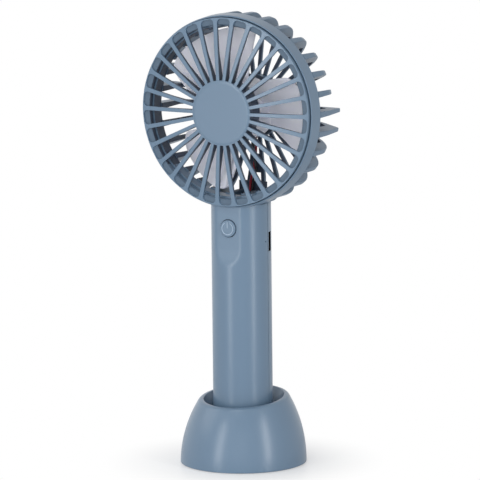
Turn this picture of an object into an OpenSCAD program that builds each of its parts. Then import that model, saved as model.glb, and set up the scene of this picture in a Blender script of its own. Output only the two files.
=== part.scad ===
// Handheld fan with a domed desk stand.
// Millimetres. Z is up, the fan blows towards -Y, the table is the plane Z = 0.

/* [Stand] */
// Diameter of the stand on the table
base_d = 67.4; // [64:0.2:76]
// Height of the slanted rim on the stand axis
rim_z = 35.2; // [33:0.1:37]
// Slant of the rim, higher at the back
rim_tilt = 7; // [4:0.2:9]
// Wall of the stand
base_wall = 2; // [1.6:0.1:2.6]
// Height of the handle end above the table
seat_z = 14; // [12:0.5:17]
// Level of the recess floor round the handle
recess_z = 24; // [22:0.5:26]
// Thickness of the anti-slip pad
pad_t = 0.8; // [0.6:0.1:1.2]
// Thickness of the plate that closes the stand
plate_t = 2; // [1.6:0.1:2.6]
// Height of the stand edge above the table
foot_gap = 0.3; // [0.2:0.05:0.5]

/* [Handle] */
// Length of the handle from its end to the head band
handle_len = 124.2; // [119:0.2:135]
// Diameter of the handle
handle_d = 31.8; // [31:0.1:33]
// Wall of the handle
wall = 2; // [1.6:0.1:2.4]
// Depth of the thumb scoop
scoop_d = 2; // [1.2:0.1:2.4]
// Height of the scoop ramp
ramp_h = 10.6; // [8:0.2:14]
// Length of the flat part of the scoop below the head
scoop_h = 21.3; // [19:0.1:23]
// Width of the line between the housing halves
seam_w = 0.35; // [0.2:0.05:0.5]

/* [Head] */
// Diameter of the head band
head_d = 103; // [100:0.5:108]
// Thickness of the band
band_t = 1.5; // [1.2:0.1:2]
// Depth of the band from front to back
band_w = 8.5; // [8:0.1:10]
// Amount by which the band grows from front to back, on the radius
band_flare = 0.6; // [0.4:0.1:0.8]
// Set-back of the band lip behind the handle front
lip_set = 1.4; // [1:0.1:2]
// Width of the channel under the outer ends of the spokes
channel_w = 3.25; // [2.6:0.05:3.8]
// Depth of that channel below the grille edge
channel_d = 0.65; // [0.4:0.05:1.2]
// Width of the flange outside the channel
flange_w = 0.55; // [0.4:0.05:1.2]

/* [Front grille] */
// Number of spokes
spokes = 30; // [26:1:32]
// Diameter of the central disc
disc_d = 34.2; // [30:0.2:38]
// Projection of the disc ahead of the handle
disc_out = 4.8; // [4:0.1:6]
// Thickness of the disc
disc_t = 4.8; // [4:0.1:5.4]
// Height of the disc step above the spokes
disc_step = 0.2; // [0.1:0.05:0.4]
// Spoke width at the disc
spoke_in = 1.4; // [1.2:0.1:2]
// Spoke width at the rim
spoke_out = 2; // [1.6:0.1:2.6]
// Drop of the spokes from the disc to the rim
dome_drop = 3.8; // [3:0.1:4.4]

/* [Rear cage] */
// Number of fins
fins = 30; // [26:1:32]
// Fin thickness at the band
fin_root = 3.4; // [2.8:0.1:3.8]
// Fin thickness at the back
fin_back = 2; // [1.6:0.1:2.4]
// Radial depth of a fin along the side
fin_depth = 7.1; // [6:0.1:7.5]
// Radius of the rounded rear corner
fin_corner = 14.5; // [12:0.5:16]
// Reach of the fins behind the handle axis
cage_back = 18.9; // [18:0.1:20]
// Extra reach of the square fins
fin_extra = 0.7; // [0.4:0.1:1]
// Diameter of the rear hub
rear_hub_d = 34.2; // [33:0.2:38]

/* [Impeller] */
// Gap between the blade tips and the cage
tip_gap = 1; // [0.6:0.1:2]
// Number of blades
blades = 3; // [3:1:4]
// Blade thickness
blade_t = 1.3; // [1:0.1:1.6]
// Depth of a blade along the axis
blade_h = 20.4; // [16:0.2:21]
// Diameter of the impeller hub
hub_d = 32.8; // [31:0.2:34]
// Distance of the hub front behind the disc
hub_set = 9.4; // [8:0.1:11]
// Wall of the impeller hub
hub_wall = 1.8; // [1.4:0.1:2]

/* [Motor] */
// Shaft diameter
shaft_d = 2; // [1.6:0.1:2.4]
// Running gap of the shaft in its bearing
shaft_gap = 0.03; // [0.02:0.01:0.06]
// Gap between magnet and stator
air_gap = 0.4; // [0.3:0.05:0.6]
// Wall of the steel yoke
yoke_t = 0.8; // [0.6:0.1:1]
// Thickness of the magnet ring
magnet_t = 1.35; // [1.1:0.05:1.6]
// Number of stator poles
poles = 4; // [4:1:6]
// Wire thickness
wire_d = 1.3; // [1.1:0.05:1.4]

/* [Controls] */
// Diameter of the power button
button_d = 9; // [8:0.1:10]
// Height of the button below the head
button_drop = 10.9; // [10:0.1:12]
// Projection of the button from the scoop
button_out = 0.8; // [0.4:0.05:1.2]
// Radius of the power mark
mark_r = 3; // [2.4:0.1:3.2]
// Line width of the power mark
mark_w = 0.6; // [0.4:0.1:0.8]
// Height of the power mark
mark_t = 0.25; // [0.15:0.05:0.4]
// Travel of the button
button_travel = 0.5; // [0.3:0.05:0.6]
// Height of the charging slot
slot_h = 10.3; // [9.5:0.1:11]
// Width of the charging slot
slot_w = 3.3; // [3.2:0.05:3.6]
// Diameter of the lamp hole
lamp_d = 0.9; // [0.6:0.1:1.2]
// Diameter of the battery cell
cell_d = 18.4; // [18:0.1:18.6]
// Length of the battery cell
cell_len = 65; // [63:0.5:66]
// Thickness of the circuit board
board_t = 1.4; // [1.2:0.1:1.6]

/* [Clearances] */
// Gap between pieces that move past each other
run_gap = 0.3; // [0.25:0.05:0.4]
// Gap round pieces that are nested and fixed
fit_gap = 0.15; // [0.1:0.01:0.2]
// Gap round pieces that are pressed together
press_gap = 0.02; // [0.01:0.005:0.04]

/* [Hidden] */
$fn = 72;
eps = 0.01;
handle_r = handle_d / 2;
bore_r = handle_r - wall;
base_r = base_d / 2;
plate_r = base_r - base_wall - fit_gap - 0.1;
head_r = head_d / 2;
head_z = seat_z + handle_len + head_r;
// The head is drawn along its own axis w, which points forward to -Y.
lip_w = handle_r - lip_set;
band_back_w = lip_w - band_w;
band_front_r = head_r - band_flare;
band_in_r = head_r - band_t;
rim_r = band_in_r - fit_gap;
pocket_r = rim_r - flange_w;
air_r = pocket_r - channel_w;
cage_in_r = air_r - 1;
neck_r = rim_r - 0.25;
disc_r = disc_d / 2;
disc_w = handle_r + disc_out;
plate_w = disc_w - disc_step;
rim_w = plate_w - dome_drop * (rim_r - disc_r) / (pocket_r - disc_r);
dome_c = (disc_r * disc_r + plate_w * plate_w - rim_r * rim_r - rim_w * rim_w) / (2 * (plate_w - rim_w));
dome_r = sqrt(disc_r * disc_r + (plate_w - dome_c) * (plate_w - dome_c));
under_w = disc_w - disc_t;
arch_r = (disc_r + air_r) / 2;
arch_w = under_w + 1.35;
channel_floor_w = rim_w - channel_d;
neck_w = lip_w + 0.8;
seat_w = channel_floor_w - 3.4;
// Rear cage.
rib_t = 1.8;
fin_r = band_in_r + 1.4;
fin_in_r = fin_r - fin_depth;
fin_front_w = band_back_w - run_gap;
ring_back_w = fin_front_w - 0.7;
hub_back_w = -cage_back - 0.6;
hub_front_w = -cage_back + rib_t;
rear_hub_r = rear_hub_d / 2;
// Drive.
hub_r = hub_d / 2;
hub_in_r = hub_r - hub_wall;
blade_r = fin_in_r - tip_gap;
blade_w = seat_w - 0.25 - blade_h / 2;
hub_front = under_w - hub_set;
skirt_r = hub_r - 0.5;
yoke_r = hub_in_r - press_gap;
magnet_r = yoke_r - yoke_t - press_gap;
magnet_in_r = magnet_r - magnet_t;
stator_r = magnet_in_r - air_gap;
shaft_r = shaft_d / 2;
sleeve_in_r = shaft_r + shaft_gap;
sleeve_r = sleeve_in_r + 1.55;
tube_in_r = sleeve_r + press_gap;
tube_r = tube_in_r + 0.6;
boss_r = tube_r + 1.8;
cup_front_w = hub_front_w + 3.6;
cup_in_r = rear_hub_r - 2.1;
boss_w = cup_front_w + 0.1;
tube_back_w = hub_front_w + 0.6;
motor_board_t = 1;
stator_back_w = boss_w + motor_board_t + 5;
stator_h = 5;
rotor_back_w = boss_w + motor_board_t + 2.8;
yoke_front_w = stator_back_w + stator_h + 3.6;
hub_plate_t = 1.8;
// Handle, from bottom to top.
floor_z = seat_z + wall;
boss_y = 2.8;
screw_lo_z = floor_z + boss_y + 0.6;
tab_t = 0.2;
cell_z = screw_lo_z + boss_y + 1.4;
cell_top_z = cell_z + cell_len;
screw_hi_z = cell_top_z + 4.6;
board_lo_z = screw_hi_z + 5;
head_low_z = head_z - head_r;
board_hi_z = head_low_z - 2.6;
button_z = head_low_z - button_drop + 0.5;
slot_z = button_z - 8.1;
lamp_z = slot_z + 0.4;
scoop_y = -handle_r + scoop_d;
scoop_in_y = scoop_y + wall;
scoop_z = head_low_z + 0.5 - scoop_h;
ramp_z = scoop_z - ramp_h;
cap_r = head_r + run_gap + 1.2;
plate_hi_r = fin_r - 2.5;
board_w = 2 * sqrt(bore_r * bore_r - 9) - 2.6;
usb_w = 7.5;
usb_h = 2.7;
usb_x = bore_r + 0.5;
usb_len = 5.2;
ledge_z = board_lo_z + 2;
ledge_h = (slot_z - usb_w / 2 - ledge_z) * 4 / 7;
usb_y = board_t + usb_h / 2;
switch_h = 3.4;
switch_w = 6;
plunger_r = 1.7;
plunger_out = 0.8;
button_r = button_d / 2;
flange_t = 0.8;
cell_r = cell_d / 2;
cradle_r = cell_r + fit_gap;
screw_r = 1;
screw_head_r = 2.1;
screw_seat_y = 6.5;
screw_len = 15;
wire_r = wire_d / 2;
lead_x = wire_r + 0.1;
lead_w = hub_front_w + 1.55;
lead_turn = wire_r + 0.07;
hole_y = 8;
socket_r = handle_r + run_gap;
dome_arc = 2 * base_r;
skin = [0.49, 0.57, 0.65];
pale = [0.74, 0.74, 0.80];
steel = [0.72, 0.73, 0.75];
brass = [0.80, 0.66, 0.36];
copper = [0.75, 0.42, 0.24];
dark = [0.12, 0.13, 0.14];
green = [0.10, 0.36, 0.22];

// Moves a shape drawn along the head axis to its place.
module head() {
    translate([0, 0, head_z])
        rotate([90, 0, 0])
            children();
}

// Straight run of a ring along the head axis.
module ring(r_out, r_in, w_lo, w_hi) {
    translate([0, 0, w_lo])
        difference() {
            cylinder(h = w_hi - w_lo, r = r_out);
            translate([0, 0, -1])
                cylinder(h = w_hi - w_lo + 2, r = r_in);
        }
}

// Cylinder along Y.
module bar_y(x, z, r, y_lo, y_hi) {
    translate([x, y_hi, z])
        rotate([90, 0, 0])
            cylinder(h = y_hi - y_lo, r = r);
}

// Block between two corners.
module block(lo, hi) {
    translate(lo)
        cube(hi - lo);
}

function unit(v) = v / norm(v);
function curve(a, b, c, d, t) = 0.5 * (2 * b + (c - a) * t + (2 * a - 5 * b + 4 * c - d) * t * t
    + (3 * b - a - 3 * c + d) * t * t * t);
function route(p, n) = concat([for (i = [0 : len(p) - 2]) for (j = [0 : n - 1])
    curve(p[max(i - 1, 0)], p[i], p[i + 1], p[min(i + 2, len(p) - 1)], j / n)], [p[len(p) - 1]]);

// Round wire along a route; side is never parallel to the route.
module wire(p, r, side) {
    q = route(p, 4);
    m = len(q);
    k = 10;
    pts = [for (i = [0 : m - 1])
        let (t = unit(q[min(i + 1, m - 1)] - q[max(i - 1, 0)]), a = unit(cross(t, side)), b = cross(t, a))
        for (j = [0 : k - 1]) q[i] + r * (cos(360 * j / k) * a + sin(360 * j / k) * b)];
    sides = [for (i = [0 : m - 2]) for (j = [0 : k - 1]) for (h = [0, 1])
        let (n = (j + 1) % k)
        h == 0 ? [i * k + j, (i + 1) * k + j, (i + 1) * k + n] : [i * k + j, (i + 1) * k + n, i * k + n]];
    near = [[for (j = [0 : k - 1]) j]];
    far = [[for (j = [k - 1 : -1 : 0]) (m - 1) * k + j]];
    polyhedron(points = pts, faces = concat(sides, near, far), convexity = 6);
}

// Solid of the dome, cut by the slanted rim.
module dome_solid(inset, z_lo) {
    difference() {
        rotate_extrude()
            intersection() {
                translate([base_r - dome_arc, 0])
                    circle(r = dome_arc - inset, $fn = 180);
                translate([0, z_lo])
                    square([base_r, 60]);
            }
        translate([0, 0, rim_z])
            rotate([rim_tilt, 0, 0])
                translate([-80, -80, 0])
                    cube([160, 160, 60]);
    }
}

// Domed stand with a bowl round the handle and a socket below it.
module base_dome() {
    color(skin)
        difference() {
            dome_solid(0, foot_gap);
            // Bowl above the recess floor.
            rotate_extrude()
                difference() {
                    intersection() {
                        translate([base_r - dome_arc, 0])
                            circle(r = dome_arc - base_wall, $fn = 180);
                        translate([0, recess_z])
                            square([base_r, 60]);
                    }
                    polygon([[base_r, recess_z - 1], [base_r, recess_z + 3], [socket_r, recess_z - 1]]);
                }
            // Socket for the handle.
            translate([0, 0, seat_z])
                cylinder(h = 40, r = socket_r);
            // Hollow below, open to the bottom plate.
            rotate_extrude()
                difference() {
                    intersection() {
                        translate([base_r - dome_arc, 0])
                            circle(r = dome_arc - base_wall, $fn = 180);
                        square([base_r, recess_z - base_wall]);
                    }
                    translate([0, seat_z - base_wall])
                        square([socket_r + base_wall, 40]);
                    // Ledge above the plate.
                    translate([plate_r - 1.6, pad_t + plate_t])
                        square([10, 1.6]);
                }
        }
}

// Plate that closes the stand, set inside its edge.
module base_plate() {
    color(skin)
        translate([0, 0, pad_t])
            difference() {
                cylinder(h = plate_t, r = plate_r);
                translate([0, 0, -1])
                    cylinder(h = plate_t + 2, r = 4);
            }
}

// Soft pad under the stand.
module base_pad() {
    color(dark)
        difference() {
            cylinder(h = pad_t, r = plate_r - 1);
            translate([0, 0, -1])
                cylinder(h = pad_t + 2, r = base_r - 11);
        }
}

// Slot between two spokes, along the local x axis.
function slot_half(r) = r * sin(180 / spokes)
    - (spoke_in + (spoke_out - spoke_in) * (r - disc_r) / (pocket_r - disc_r)) / 2;
module spoke_slot() {
    r_a = disc_r + 0.15;
    h_a = slot_half(r_a);
    c = 2;
    r_b = pocket_r - c;
    h_b = slot_half(r_b);
    union() {
        polygon([[r_a, -h_a], [r_b, -h_b], [r_b, h_b], [r_a, h_a]]);
        translate([r_b - eps, c - h_b])
            square([c + eps, 2 * h_b - 2 * c]);
        translate([r_b, h_b - c])
            circle(r = c, $fn = 36);
        translate([r_b, c - h_b])
            circle(r = c, $fn = 36);
    }
}

// Domed front guard: plain disc, spokes and a rim that snaps into the band.
module front_grille() {
    color(skin)
        head()
            union() {
                difference() {
                    rotate_extrude($fn = 144)
                        union() {
                            difference() {
                                intersection() {
                                    translate([0, dome_c])
                                        circle(r = dome_r, $fn = 360);
                                    square([rim_r, disc_w]);
                                }
                                polygon([[-1, -1], [rim_r + 1, -1], [rim_r + 1, neck_w], [neck_r, neck_w],
                                    [neck_r, channel_floor_w], [air_r, channel_floor_w], [arch_r, arch_w],
                                    [disc_r, under_w], [-1, under_w]]);
                            }
                            translate([0, under_w])
                                square([disc_r, disc_t]);
                        }
                    for (i = [0 : spokes - 1])
                        rotate(360 * (i + 0.5) / spokes)
                            translate([0, 0, channel_floor_w])
                                linear_extrude(height = 12)
                                    spoke_slot();
                }
                // Ring below the channel.
                rotate_extrude($fn = 144)
                    polygon([[air_r, channel_floor_w], [air_r, seat_w], [neck_r - 0.6, seat_w],
                        [neck_r, seat_w + 0.6], [neck_r, channel_floor_w]]);
                // Skirt behind the disc, round the front of the motor.
                ring(skirt_r, skirt_r - 1.6, hub_front + 0.5, under_w + 0.5);
            }
}

// Ring band with a rounded front lip.
module band() {
    lip_c = (band_front_r - band_in_r) / 2;
    rotate_extrude($fn = 144)
        union() {
            polygon([[band_in_r, band_back_w], [head_r - 0.3, band_back_w], [head_r, band_back_w + 0.5],
                [band_front_r, lip_w - lip_c], [band_in_r, lip_w - lip_c]]);
            translate([band_in_r + lip_c, lip_w - lip_c])
                circle(r = lip_c, $fn = 36);
        }
}

// Handle outline up to a height, with a small chamfer at its end.
module handle_solid(top) {
    translate([0, 0, seat_z])
        cylinder(h = 1, r1 = handle_r - 1, r2 = handle_r);
    translate([0, 0, seat_z + 1])
        cylinder(h = top - seat_z - 1, r = handle_r);
}

// Room inside the handle, closed at the top by the head.
module handle_room(limit_r) {
    difference() {
        translate([0, 0, floor_z])
            cylinder(h = head_z - floor_z - 30, r = bore_r);
        head()
            translate([0, 0, -40])
                cylinder(h = 80, r = limit_r, $fn = 144);
    }
}

// Half rings that cradle the battery cell.
module cradle(y_lo, y_hi) {
    for (z = [cell_z + 6, cell_z + cell_len / 2, cell_top_z - 6])
        intersection() {
            translate([0, 0, z - 0.8])
                difference() {
                    cylinder(h = 1.6, r = bore_r + 0.5);
                    translate([0, 0, -1])
                        cylinder(h = 4, r = cradle_r);
                }
            block([-8, y_lo, 0], [bore_r + 1, y_hi, 200]);
        }
}

// Band and front half of the handle.
module front_housing() {
    color(skin)
        union() {
            head()
                band();
            difference() {
                intersection() {
                    handle_solid(head_z - 40);
                    block([-40, -40, 0], [40, 0, 200]);
                }
                // Room for the inner pieces, kept clear of the thicker wall behind the scoop.
                difference() {
                    handle_room(cap_r);
                    block([-20, -20, ramp_z - 3], [20, scoop_in_y, 200]);
                }
                // Space of the head.
                head()
                    translate([0, 0, band_back_w])
                        cylinder(h = 30, r = band_in_r + 0.4, $fn = 144);
                head()
                    translate([0, 0, -10])
                        cylinder(h = band_back_w + 10 + eps, r = fin_r + run_gap, $fn = 144);
                // Thumb scoop with a ramp at its lower end.
                rotate([90, 0, 90])
                    translate([0, 0, -30])
                        linear_extrude(height = 60)
                            polygon([[-handle_r, ramp_z], [scoop_y, scoop_z], [scoop_y, 200], [-60, 200],
                                [-60, ramp_z]]);
                bar_y(0, button_z, button_r + run_gap, -20, 0);
                // Lamp hole.
                translate([bore_r - 1.5, -1.8, lamp_z])
                    rotate([0, 90, 0])
                        cylinder(h = 6, r = lamp_d / 2, $fn = 24);
            }
            // Screw posts.
            for (z = [screw_lo_z, screw_hi_z])
                difference() {
                    bar_y(0, z, boss_y, -bore_r - 0.5, 0);
                    bar_y(0, z, screw_r + press_gap, screw_seat_y - screw_len - 0.6, 1);
                }
            cradle(-bore_r - 1, 0);
            // Ledges for the circuit board.
            for (s = [-1, 1])
                intersection() {
                    translate([0, 0, ledge_z])
                        cylinder(h = ledge_h, r = bore_r + 0.5);
                    translate([s * (bore_r - 1.2), -2, 0])
                        translate([-1.9, 0, 0])
                            cube([3.8, 2, 200]);
                }
        }
}

// Outline of one fin in radius and axis.
module fin_outline() {
    c_r = fin_r - fin_corner;
    c_w = fin_corner - cage_back;
    difference() {
        union() {
            translate([c_r, c_w])
                circle(r = fin_corner, $fn = 72);
            polygon([[rear_hub_r - 2, -cage_back], [c_r, -cage_back], [c_r, c_w], [fin_r, c_w],
                [fin_r, fin_front_w], [rear_hub_r - 2, fin_front_w]]);
        }
        fin_hollow();
    }
}

// Outline of a longer square fin.
module fin_square() {
    w = -cage_back - fin_extra;
    difference() {
        polygon([[rear_hub_r - 2, -cage_back], [fin_r - 10, w], [fin_r - 1.2, w + 1.6],
            [fin_r, -cage_back + fin_corner], [fin_r, fin_front_w], [rear_hub_r - 2, fin_front_w]]);
        fin_hollow();
    }
}

// Hollow of the cage in front of the fins.
module fin_hollow() {
    polygon([[0, 60], [fin_in_r, 60], [fin_in_r, 5.2 - cage_back], [fin_in_r - 3.7, 2.7 - cage_back],
        [fin_in_r - 11, hub_front_w], [0, hub_front_w]]);
}

// One fin, thinner towards the back.
module fin(square_end) {
    intersection() {
        rotate([90, 0, 0])
            translate([0, 0, -fin_root])
                linear_extrude(height = 2 * fin_root)
                    if (square_end)
                        fin_square();
                    else
                        fin_outline();
        rotate([90, 0, 90])
            linear_extrude(height = 70)
                polygon([[-fin_root / 2, fin_front_w + 1], [fin_root / 2, fin_front_w + 1],
                    [fin_back / 2, -cage_back - 1], [-fin_back / 2, -cage_back - 1]]);
    }
}

// Rear cage: ring, fins, hub with a motor cup, and a web behind the leads, along the head axis.
module rear_cage() {
    union() {
        ring(rim_r, cage_in_r, ring_back_w, seat_w - press_gap, $fn = 144);
        for (i = [0 : fins - 1])
            rotate(360 * i / fins)
                fin(i == 0 || i == fins - 1 || i == floor(fins / 2) || i == floor(fins / 2) + 1);
        // Hub with a shallow cup and a notch for the leads.
        difference() {
            translate([0, 0, hub_back_w])
                cylinder(h = cup_front_w - hub_back_w, r = rear_hub_r);
            translate([0, 0, hub_front_w])
                cylinder(h = 20, r = cup_in_r);
            translate([-2.4, -rear_hub_r - 2, hub_front_w + 0.1])
                cube([4.8, 6, 20]);
        }
        // Post of the bearing tube.
        difference() {
            translate([0, 0, hub_front_w - 0.5])
                cylinder(h = boss_w - hub_front_w + 0.5, r = boss_r);
            translate([0, 0, tube_back_w])
                cylinder(h = 20, r = tube_r + press_gap);
        }
        // Web behind the motor leads.
        rotate(-90)
            translate([0, 0, -cage_back])
                linear_extrude(height = rib_t - 0.4)
                    polygon([[26, -2.6], [26, 2.6], [36, 3.6], [36, -3.6]]);
    }
}

// Rear cage and rear half of the handle.
module rear_housing() {
    color(skin)
        union() {
            head()
                rear_cage();
            difference() {
                intersection() {
                    handle_solid(head_z - 40);
                    block([-40, 0, 0], [40, 40, 200]);
                }
                handle_room(cap_r);
                // Space of the cage; the back wall runs on up behind it.
                head()
                    translate([0, 0, wall + 0.5 - handle_r])
                        cylinder(h = 40, r = plate_hi_r, $fn = 144);
                // Passage of the motor leads.
                bar_hole();
                // Slot of the charging socket.
                block([bore_r - 1.5, usb_y - slot_w / 2, slot_z - slot_h / 2],
                    [handle_r + 1, usb_y + slot_w / 2, slot_z + slot_h / 2]);
                // Groove of the side seam.
                for (s = [-1, 1])
                    translate([s * handle_r - 0.4, -1, seat_z])
                        cube([0.8, 1 + seam_w, 200]);
                for (z = [screw_lo_z, screw_hi_z])
                    bar_y(0, z, screw_head_r + run_gap, screw_seat_y, 20);
            }
            for (z = [screw_lo_z, screw_hi_z])
                difference() {
                    bar_y(0, z, boss_y + 0.4, 0, bore_r + 0.3);
                    bar_y(0, z, screw_r + 0.2, -1, 20);
                    bar_y(0, z, screw_head_r + run_gap, screw_seat_y, 20);
                }
            cradle(0, bore_r + 1);
            // Ledges behind the circuit board.
            for (s = [-1, 1])
                intersection() {
                    translate([0, 0, ledge_z])
                        cylinder(h = ledge_h, r = bore_r + 0.5);
                    translate([s * (bore_r - 1.2) - 1.9, board_t, 0])
                        cube([3.8, 2, 200]);
                }
        }
}

// Hole for the two motor leads in the closed top of the handle.
module bar_hole() {
    translate([0, hole_y, head_z - cap_r - 7])
        cylinder(h = 30, r = 2 * lead_x + 0.5, $fn = 36);
}

// Screws from the back, heads sunk in the rear half.
module handle_screws() {
    color(steel)
        for (z = [screw_lo_z, screw_hi_z])
            difference() {
                union() {
                    bar_y(0, z, screw_r, screw_seat_y - screw_len, screw_seat_y + eps);
                    bar_y(0, z, screw_head_r, screw_seat_y, screw_seat_y + 1.5);
                }
                block([-1.2, screw_seat_y + 0.7, z - 0.25], [1.2, screw_seat_y + 2, z + 0.25]);
                block([-0.25, screw_seat_y + 0.7, z - 1.2], [0.25, screw_seat_y + 2, z + 1.2]);
            }
}

// Blade edges as angles from the hub out, the rounded tip, the cambered height and the root.
function blade_hi(r) = 27 + 0.73 * (blade_r - 2.1 - r);
function blade_lo(r) = -34 - 5 * (r - hub_r) / (blade_r - hub_r);
function blade_end(s) = let (x = max(0, (abs(s) - 0.5) / 0.5)) blade_r - 4.5 * (1 - sqrt(1 - x * x));
function blade_rise(s) = blade_w + (blade_h - blade_t) / 2 * (s - 0.25 * (1 - s * s));
function blade_root(s) = hub_r + (blade_rise(s) < hub_front - 1 ? -0.8 : 0.4);
function blade_point(s, v, side) =
    let (r0 = blade_root(s), r = r0 + v * (blade_end(s) - r0),
        a = blade_lo(r) + (s + 1) / 2 * (blade_hi(r) - blade_lo(r)))
    [r * cos(a), r * sin(a), blade_rise(s) + side * blade_t / 2];

// One blade as a smooth twisted plate.
module blade() {
    ss = [-1, -0.985, -0.95, -0.88, -0.78, -0.6, -0.35, -0.1, 0.15, 0.4, 0.51, 0.56, 0.7, 0.82, 0.9, 0.96, 0.99, 1];
    nv = 8;
    ns = len(ss);
    n = ns * (nv + 1);
    pts = [for (side = [1, -1]) for (s = ss) for (j = [0 : nv]) blade_point(s, j / nv, side)];
    cells = [for (i = [0 : ns - 2]) for (j = [0 : nv - 1]) let (p = i * (nv + 1) + j, q = p + nv + 1) [p, q]];
    front = [for (c = cells) for (h = [0, 1]) h == 0 ? [c[0], c[1], c[1] + 1] : [c[0], c[1] + 1, c[0] + 1]];
    back = [for (f = front) [f[0] + n, f[2] + n, f[1] + n]];
    loop = concat([for (i = [0 : ns - 1]) i * (nv + 1)], [for (j = [1 : nv]) (ns - 1) * (nv + 1) + j],
        [for (i = [ns - 2 : -1 : 0]) i * (nv + 1) + nv], [for (j = [nv - 1 : -1 : 1]) j]);
    m = len(loop);
    edge = [for (i = [0 : m - 1]) for (h = [0, 1]) let (a = loop[i], b = loop[(i + 1) % m])
        h == 0 ? [b, a, a + n] : [b, a + n, b + n]];
    polyhedron(points = pts, faces = concat(front, back, edge), convexity = 6);
}

// Hub cup and blades.
module impeller() {
    color(pale)
        head()
            union() {
                difference() {
                    translate([0, 0, rotor_back_w])
                        cylinder(h = hub_front - rotor_back_w, r = hub_r);
                    translate([0, 0, rotor_back_w - 1])
                        cylinder(h = hub_front - hub_plate_t - rotor_back_w + 1, r = hub_in_r);
                }
                ring(shaft_r + 2, shaft_r + press_gap, yoke_front_w, hub_front - hub_plate_t + eps);
                intersection() {
                    union() {
                        for (i = [0 : blades - 1])
                            rotate(360 * i / blades)
                                blade();
                    }
                    ring(blade_r + 1, hub_in_r + 0.4, rotor_back_w, blade_w + blade_h);
                }
            }
}

// Steel cup in the hub.
module rotor_yoke() {
    color(steel)
        head()
            difference() {
                translate([0, 0, rotor_back_w + 0.5])
                    cylinder(h = yoke_front_w - rotor_back_w - 0.5, r = yoke_r);
                translate([0, 0, rotor_back_w - 1])
                    cylinder(h = yoke_front_w - yoke_t - rotor_back_w + 1, r = yoke_r - yoke_t);
                translate([0, 0, yoke_front_w - 3])
                    cylinder(h = 6, r = shaft_r + press_gap);
            }
}

// Ring magnet in the yoke.
module magnet_ring() {
    color(dark)
        head()
            ring(magnet_r, magnet_in_r, rotor_back_w + 0.8, yoke_front_w - yoke_t);
}

// Shaft with a groove for its clip.
module motor_shaft() {
    color(steel)
        head()
            difference() {
                translate([0, 0, tube_back_w + 0.4])
                    cylinder(h = hub_front - hub_plate_t - tube_back_w - 0.4, r = shaft_r);
                ring(shaft_r + 1, shaft_r - 0.25, tube_back_w + 0.9, tube_back_w + 1.5);
            }
}

// Clip that keeps the shaft in its bearing.
module shaft_clip() {
    color(dark)
        head()
            difference() {
                ring(shaft_r + 0.9, shaft_r - 0.25 + press_gap, tube_back_w + 0.95, tube_back_w + 1.45);
                translate([0, -0.4, tube_back_w])
                    cube([shaft_r + 2, 0.8, 4]);
            }
}

// Brass tube that carries the stator.
module bearing_tube() {
    color(brass)
        head()
            ring(tube_r, tube_in_r, tube_back_w, stator_back_w + stator_h + 1.2);
}

// Bearing in the tube.
module sleeve_bearing() {
    color(brass)
        head()
            ring(sleeve_r, sleeve_in_r, tube_back_w + 2, stator_back_w + stator_h + 0.8);
}

// Laminated core with poles.
module stator_core() {
    color(steel)
        head()
            translate([0, 0, stator_back_w])
                linear_extrude(height = stator_h)
                    difference() {
                        union() {
                            circle(r = boss_r);
                            for (i = [0 : poles - 1])
                                rotate(360 * (i + 0.5) / poles)
                                    union() {
                                        translate([0, -1])
                                            square([stator_r - 0.6, 2]);
                                        intersection() {
                                            difference() {
                                                circle(r = stator_r);
                                                circle(r = stator_r - 1.5);
                                            }
                                            translate([0, -3.6])
                                                square([stator_r, 7.2]);
                                        }
                                    }
                        }
                        circle(r = tube_r + press_gap);
                    }
}

// Copper windings round the poles.
module stator_coils() {
    color(copper)
        head()
            for (i = [0 : poles - 1])
                rotate(360 * (i + 0.5) / poles)
                    difference() {
                        block([boss_r + 0.3, -2.4, stator_back_w - 1.2],
                            [stator_r - 2, 2.4, stator_back_w + stator_h + 1.2]);
                        block([0, -1 - press_gap, stator_back_w - press_gap],
                            [stator_r, 1 + press_gap, stator_back_w + stator_h + press_gap]);
                    }
}

// Insulating collar between the motor board and the core.
module stator_spacer() {
    color([0.90, 0.90, 0.86])
        head()
            ring(boss_r - 0.4, tube_r + press_gap, boss_w + motor_board_t, stator_back_w);
}

// Round driver board in the motor cup.
module motor_board() {
    color(green)
        head()
            ring(cup_in_r - 0.5, tube_r + press_gap, boss_w, boss_w + motor_board_t);
}

// Route of a motor lead: twisted on its way down, then in front of the back wall. Side is 1 or -1.
function lead_route(side) = let (y = -lead_w, z = head_z, x = side * lead_x, r_in = rear_hub_r + 2,
        r_out = fin_in_r - 9.8, y_end = board_t + wire_r, k = 6) concat([
    [x, -boss_w + press_gap, z - cup_in_r + 3.2],
    [x, -boss_w + 1.1, z - cup_in_r + 3],
    [x, y - 0.7, z - cup_in_r + 1.4]],
    [for (i = [0 : k]) [side * lead_turn * cos(180 * i / k), y + side * lead_turn * sin(180 * i / k),
        z - r_in - (r_out - r_in) * i / k]],
    [[-x, y - 2, z - fin_in_r + 7.2],
    [-x, y - 3.5, z - fin_in_r + 4.4],
    [-x, y - 4.6, z - fin_in_r],
    [-x, hole_y + 0.6, z - plate_hi_r + 1],
    [-x, hole_y - 0.1, z - plate_hi_r - 2.8],
    [-x, hole_y - 0.4, z - cap_r - 0.6],
    [-x, y_end + 2.6, board_hi_z - 2.6],
    [-x, y_end + 0.75, board_hi_z - 4.2],
    [-x, y_end + 0.1, board_hi_z - 5.8],
    [-x, y_end + press_gap, board_hi_z - 7.8]]);

module motor_wire_red() {
    color([0.75, 0.08, 0.08])
        wire(lead_route(1), wire_r, [1, 0, 0]);
}

module motor_wire_black() {
    color(dark)
        wire(lead_route(-1), wire_r, [1, 0, 0]);
}

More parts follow.
